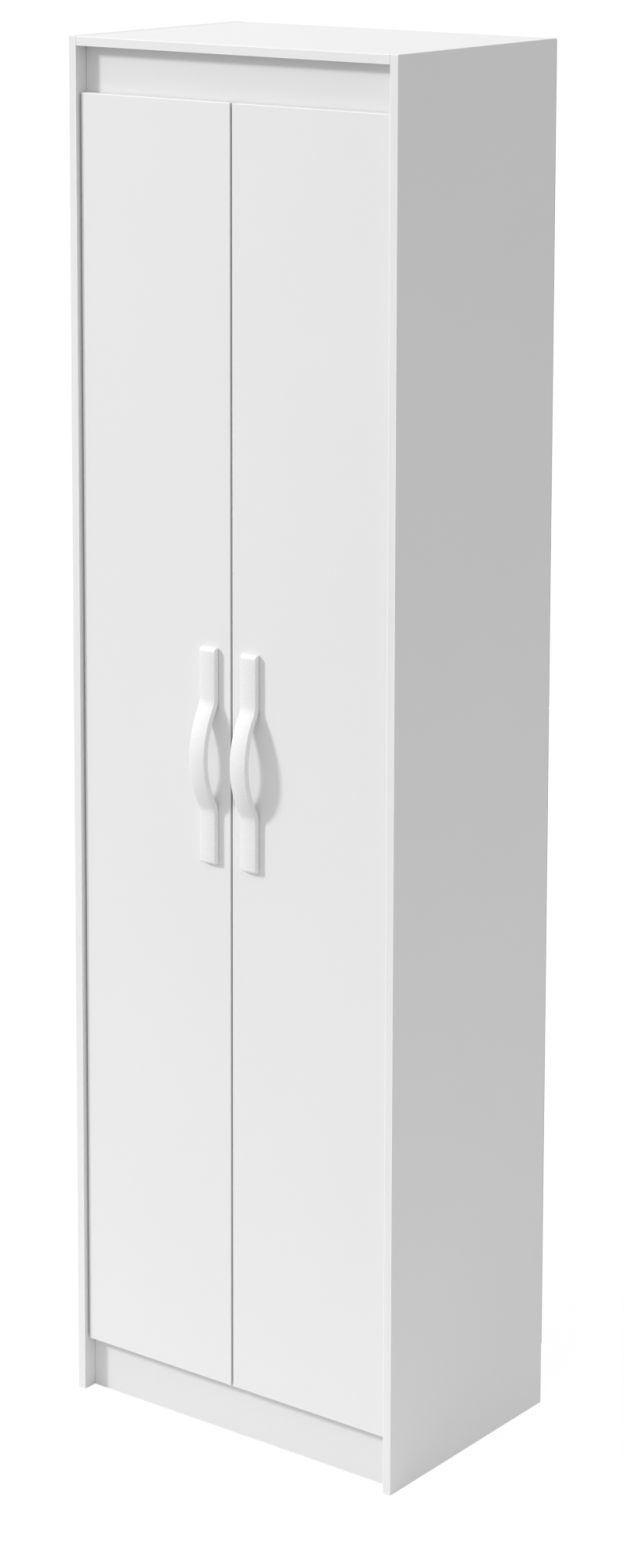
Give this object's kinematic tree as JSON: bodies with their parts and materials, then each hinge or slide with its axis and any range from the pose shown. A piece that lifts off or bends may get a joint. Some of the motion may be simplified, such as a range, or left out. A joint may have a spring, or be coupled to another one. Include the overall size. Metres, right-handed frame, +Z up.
{
  "type": "utility cabinet",
  "caption": "Tall narrow free-standing utility cabinet of coated board, with inset doors on concealed hinges, bow handles and inner shelves.",
  "frame": {"origin": "floor level, in the middle of the width and of the overall depth, handles included", "axes": "+Z up, +X to the right as seen from the front, +Y to the back"},
  "size_m": [0.512, 0.3684, 1.8],
  "materials": {
    "board_white": "smooth matt white melamine on chipboard",
    "door_white": "smooth matt white melamine on chipboard",
    "handle_white": "white plastic with a fine pebble grain on its front",
    "hardboard": "brown hardboard, painted white inside",
    "white_plastic": "extruded white plastic",
    "steel": "bright zinc-plated steel",
    "zinc": "cast zinc and plated screws",
    "bumper": "soft translucent pads"
  },
  "bodies": {
    "carcass": {"back_joint_strip": "white_plastic", "back_sheet_lower": "hardboard", "back_sheet_upper": "hardboard", "bottom_board": "board_white", "fixed_shelf": "board_white", "front_plinth": "board_white", "header_rail": "board_white", "highest_shelf": "board_white", "highest_shelf_support_left_front": "zinc", "highest_shelf_support_left_rear": "zinc", "highest_shelf_support_right_front": "zinc", "highest_shelf_support_right_rear": "zinc", "left_lower_hinge_arm": "steel", "left_middle_hinge_arm": "steel", "left_side_panel": "board_white", "left_upper_hinge_arm": "steel", "lowest_shelf": "board_white", "lowest_shelf_support_left_front": "zinc", "lowest_shelf_support_left_rear": "zinc", "lowest_shelf_support_right_front": "zinc", "lowest_shelf_support_right_rear": "zinc", "rear_plinth": "board_white", "right_lower_hinge_arm": "steel", "right_middle_hinge_arm": "steel", "right_side_panel": "board_white", "right_upper_hinge_arm": "steel", "top_board": "board_white", "upper_shelf": "board_white", "upper_shelf_support_left_front": "zinc", "upper_shelf_support_left_rear": "zinc", "upper_shelf_support_right_front": "zinc", "upper_shelf_support_right_rear": "zinc", "wall_bracket": "steel"},
    "left_door_leaf": {"left_bumper_lower": "bumper", "left_bumper_upper": "bumper", "left_door": "door_white", "left_handle": "handle_white", "left_handle_screw_lower": "zinc", "left_handle_screw_upper": "zinc", "left_lower_hinge_cup": "zinc", "left_lower_hinge_pin": "steel", "left_middle_hinge_cup": "zinc", "left_middle_hinge_pin": "steel", "left_upper_hinge_cup": "zinc", "left_upper_hinge_pin": "steel"},
    "right_door_leaf": {"right_bumper_lower": "bumper", "right_bumper_upper": "bumper", "right_door": "door_white", "right_handle": "handle_white", "right_handle_screw_lower": "zinc", "right_handle_screw_upper": "zinc", "right_lower_hinge_cup": "zinc", "right_lower_hinge_pin": "steel", "right_middle_hinge_cup": "zinc", "right_middle_hinge_pin": "steel", "right_upper_hinge_cup": "zinc", "right_upper_hinge_pin": "steel"}
  },
  "joints": [
    {"name": "left_door_hinge", "type": "hinge", "parent": "carcass", "child": "left_door_leaf", "pos_m": [-0.2362, -0.1489, 0.8996], "axis": [0, 0, -1], "range_deg": [0, 100]},
    {"name": "right_door_hinge", "type": "hinge", "parent": "carcass", "child": "right_door_leaf", "pos_m": [0.2362, -0.1489, 0.8996], "axis": [0, 0, 1], "range_deg": [0, 100]}
  ]
}
